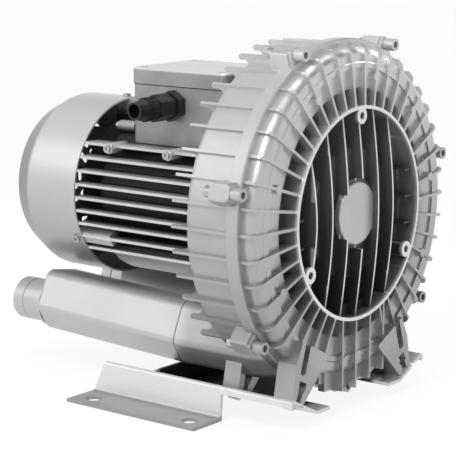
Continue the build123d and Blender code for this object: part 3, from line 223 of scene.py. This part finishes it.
def silver_paint(name, level, rough, piece=None):
    """Smooth silver lacquer with a fine flake and faint orange peel; on the cowl and the base, painted shade as
    well.
    """
    f = Finish(name)
    cloud, flake, peel = f.noise(0.08, 3), f.noise(0.00045, 1, 0.5), f.noise(0.0035, 2, 0.4)
    colour = f.tint(cloud, grey(level), grey(level * 0.92))
    r, back, x, up = f.along()
    if piece == "cowl":       # painted shade on the underside, and a darker rear slope
        # painted shade towards the bottom of the cowl
        colour = f.tint(f.rise(up, *COWL_SHADE), grey(level * 0.62), colour)
        colour = f.tint(f.rise(back, *COWL_SLOPE), colour, grey(level * 0.4))
    if piece == "base":       # painted shadow on the cradle and painted shade on the flanges, between the bent webs
        inner, outer = BASE_CRADLE_HALF
        # painted shadow over the cradle between the webs, behind the front lugs
        cradle_shadow = f.fall(x * x, inner ** 2, outer ** 2) * f.rise(back, *CRADLE_START)
        flange_shaded = f.tint(f.fall(up, *FLANGE_TOP), colour, grey(level * 0.42))
        colour = f.tint(cradle_shadow, flange_shaded, grey(0.03))
    return f.surface(Base_Color=colour, Roughness=rough + (flake - 0.5) * 0.14 + (cloud - 0.5) * 0.08,
                     Metallic=0.5, Normal=f.relief(peel, 0.00015))


def brushed(name, level, rough, stretch):
    """Turned or ground metal with fine lines across the stretched direction."""
    f = Finish(name)
    lines, cloud = f.noise(0.004, 4, 0.7, stretch), f.noise(0.02, 3)
    return f.surface(Base_Color=f.tint(lines, grey(level), grey(level * 0.82)),
                     Roughness=rough + (lines - 0.5) * 0.25 + (cloud - 0.5) * 0.08, Metallic=0.95,
                     Normal=f.relief(lines, 0.0001))


def moulded(name, level, rough):
    """Moulded plastic or rubber with a fine grain."""
    f = Finish(name)
    skin, cloud = f.noise(0.0009, 3, 0.6), f.noise(0.02, 3)
    return f.surface(Base_Color=f.tint(cloud, grey(level), grey(level * 1.5 + 0.004)),
                     Roughness=rough + (skin - 0.5) * 0.2 + (cloud - 0.5) * 0.1, Metallic=0.0,
                     Normal=f.relief(skin, 0.0003))


def wound_wire():
    """Lacquered copper strands."""
    f = Finish("copper_wire")
    strand, cloud = f.noise(0.0012, 2, 0.6, (6, 1, 6)), f.noise(0.02, 2)
    return f.surface(Base_Color=f.tint(strand, (0.50, 0.20, 0.08), (0.72, 0.36, 0.16)),
                     Roughness=0.3 + (cloud - 0.5) * 0.2, Metallic=0.9, Normal=f.relief(strand, 0.0005))


def open_foam():
    """Open-celled silencer foam."""
    f = Finish("foam_grey")
    cells = f.noise(0.002, 4, 0.8)
    return f.surface(Base_Color=f.tint(cells, grey(0.05), grey(0.22)), Roughness=0.95 - cells * 0.1,
                     Normal=f.relief(cells, 0.0015))


FINISHES = {
    "cast_aluminium": casing_casting(),
    "motor_aluminium": motor_casting(),
    "box_aluminium": box_casting(),
    "impeller_aluminium": silver_paint("impeller_aluminium", 0.6, 0.35),
    "base_sheet": silver_paint("base_sheet", 0.8, 0.33, "base"),
    "cowl_paint": silver_paint("cowl_paint", 0.66, 0.33, "cowl"),
    "cap_grey": silver_paint("cap_grey", 0.66, 0.42),
    "fastener_steel": brushed("fastener_steel", 0.55, 0.3, (1, 8, 1)),
    "bearing_steel": brushed("bearing_steel", 0.7, 0.15, (1, 6, 1)),
    "shaft_steel": brushed("shaft_steel", 0.6, 0.25, (1, 12, 1)),
    "lamination_steel": brushed("lamination_steel", 0.3, 0.45, (0.3, 14, 0.3)),
    "copper_wire": wound_wire(),
    "stud_brass": brushed("stud_brass", 0.5, 0.3, (1, 1, 8)),
    "gland_plastic": moulded("gland_plastic", 0.005, 0.3),
    "board_plastic": moulded("board_plastic", 0.05, 0.5),
    "fan_plastic": moulded("fan_plastic", 0.02, 0.5),
    "rubber_black": moulded("rubber_black", 0.01, 0.7),
    "foam_grey": open_foam(),
}
for entry in frame["record"]["subparts"]:
    node = frame["nodes"][entry["node"]]
    node.data.materials.clear()
    node.data.materials.append(FINISHES[entry["material_slot"]])


# --- cable gland --------------------------------------------------------------
def gland_grip():
    """Grip ribs round the taper of the gland nut."""
    ribs, root_radius, rib_height, length, rib_edge = 20, 0.0100, 0.0011, 0.0105, 0.00025
    mid_x, mid_y, mid_z = GLAND_MID
    bpy.ops.object.select_all(action="DESELECT")
    bpy.ops.mesh.primitive_cylinder_add(vertices=2 * ribs, radius=root_radius, depth=length,
                                        location=(mid_x, mid_y, mid_z), rotation=(0, math.radians(90), 0))
    grip = bpy.context.object
    grip.name = "gland_grip"
    bpy.ops.object.transform_apply(location=True, rotation=True, scale=True)
    bpy.ops.object.mode_set(mode="EDIT")
    bpy.ops.mesh.select_mode(type="FACE")
    bpy.ops.mesh.select_all(action="DESELECT")
    shape = bmesh.from_edit_mesh(grip.data)

    def angle(face):
        spot = face.calc_center_median()
        return math.atan2(spot.z - mid_z, spot.y - mid_y)

    sides = sorted((face for face in shape.faces if abs(face.normal.x) < 0.5), key=angle)
    for face in sides[::2]:
        face.select_set(True)
    bmesh.update_edit_mesh(grip.data)
    bpy.ops.mesh.extrude_faces_move(TRANSFORM_OT_shrink_fatten={"value": rib_height})
    bpy.ops.object.mode_set(mode="OBJECT")
    bpy.ops.object.modifier_add(type="BEVEL")
    grip.modifiers[0].width, grip.modifiers[0].segments = rib_edge, 2
    bpy.ops.object.modifier_apply(modifier=grip.modifiers[0].name)
    bpy.ops.object.shade_smooth_by_angle(angle=math.radians(35))
    grip.data.materials.append(FINISHES["gland_plastic"])
    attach(grip, "housing")


gland_grip()


# --- floor, light and camera --------------------------------------------------
def seen_or_mirrored(f):
    """1 for what the camera sees, also in metal or through glass."""
    camera_ray, glossy_ray, transmission_ray = [f.node("ShaderNodeLightPath", out=k) for k in (0, 3, 6)]
    return f.larger(f.larger(camera_ray, glossy_ray), transmission_ray)


def lay_floor():
    """Pale floor that shows nearly white and keeps a faint shadow."""
    side, sink, shown_white, white_share = 16, 0.0004, 1.12, 0.8
    bpy.ops.object.select_all(action="DESELECT")
    bpy.ops.mesh.primitive_plane_add(size=side, location=(0, 0, -sink))
    floor = bpy.context.object
    floor.name = "floor"
    f = Finish("pale_floor")
    f.surface(Base_Color=f.tint(f.noise(0.6, 2), grey(0.64), grey(0.60)), Roughness=0.95, Specular_IOR_Level=0.1)
    glow = f.node("ShaderNodeEmission", None, WHITE, shown_white)
    lit = Value(f, f.shader.outputs[0])
    both = f.node("ShaderNodeMixShader", None, seen_or_mirrored(f) * white_share, lit, glow)
    f.tree.links.new(both.socket, f.tree.nodes["Material Output"].inputs[0])
    floor.data.materials.append(f.material)


def lamp(name, spot, size, power):
    """Square lamp aimed at the middle of the blower."""
    data = bpy.data.lights.new(name, "AREA")
    data.size, data.energy = size, power
    thing = bpy.data.objects.new(name, data)
    bpy.context.scene.collection.objects.link(thing)
    aim = (Vector((0, 0, 0.15)) - Vector(spot)).normalized()
    thing.matrix_world = Matrix.Translation(spot) @ aim.to_track_quat("-Z", "Y").to_matrix().to_4x4()


class Sky(Finish):
    """The studio around the blower: brighter from the upper left, white where it is seen."""

    def __init__(self):
        self.take(bpy.data.worlds.new("studio"), "Background")
        bpy.context.scene.world = self.material
        bright_side, dimmest, brightest, shown_white = (-0.64, 0.05, 0.77), 0.08, 0.68, 0.98
        spot = self.node("ShaderNodeTexCoord", out=0)
        side = self.node("ShaderNodeVectorMath", {"operation": "DOT_PRODUCT"}, spot, bright_side, out=1)
        high = self.node("ShaderNodeSeparateXYZ", None, spot, out=2)
        soft = dimmest + self.rise(side, -0.4, 0.9) * (brightest - dimmest)
        seen = seen_or_mirrored(self) * self.fall(high, 0.22, 0.6)
        self.surface(Color=WHITE, Strength=soft + seen * (shown_white - soft))


def set_camera():
    spot, turn, rise = (-1.29616, -1.01775, 0.45939), math.radians(-51.82), math.radians(10.77)
    focal_pixels, picture_height, sensor = 1767.06, 467, 36.0
    camera = bpy.data.cameras.new("camera")
    eye = bpy.data.objects.new("camera", camera)
    bpy.context.scene.collection.objects.link(eye)
    aim = Vector((-math.sin(turn) * math.cos(rise), math.cos(turn) * math.cos(rise), -math.sin(rise)))
    eye.matrix_world = Matrix.Translation(spot) @ aim.to_track_quat("-Z", "Y").to_matrix().to_4x4()
    camera.sensor_width = sensor
    camera.lens = focal_pixels / picture_height * sensor
    camera.clip_end = 40
    bpy.context.scene.camera = eye


lay_floor()
lamp("key", (-1.4, -0.3, 1.6), 0.7, 19)
lamp("back_left", (-1.6, 1.6, 1.3), 1.2, 5)
lamp("top", (0.3, -0.2, 1.9), 1.0, 8)
Sky()
set_camera()
bpy.context.scene.view_settings.view_transform = "Standard"
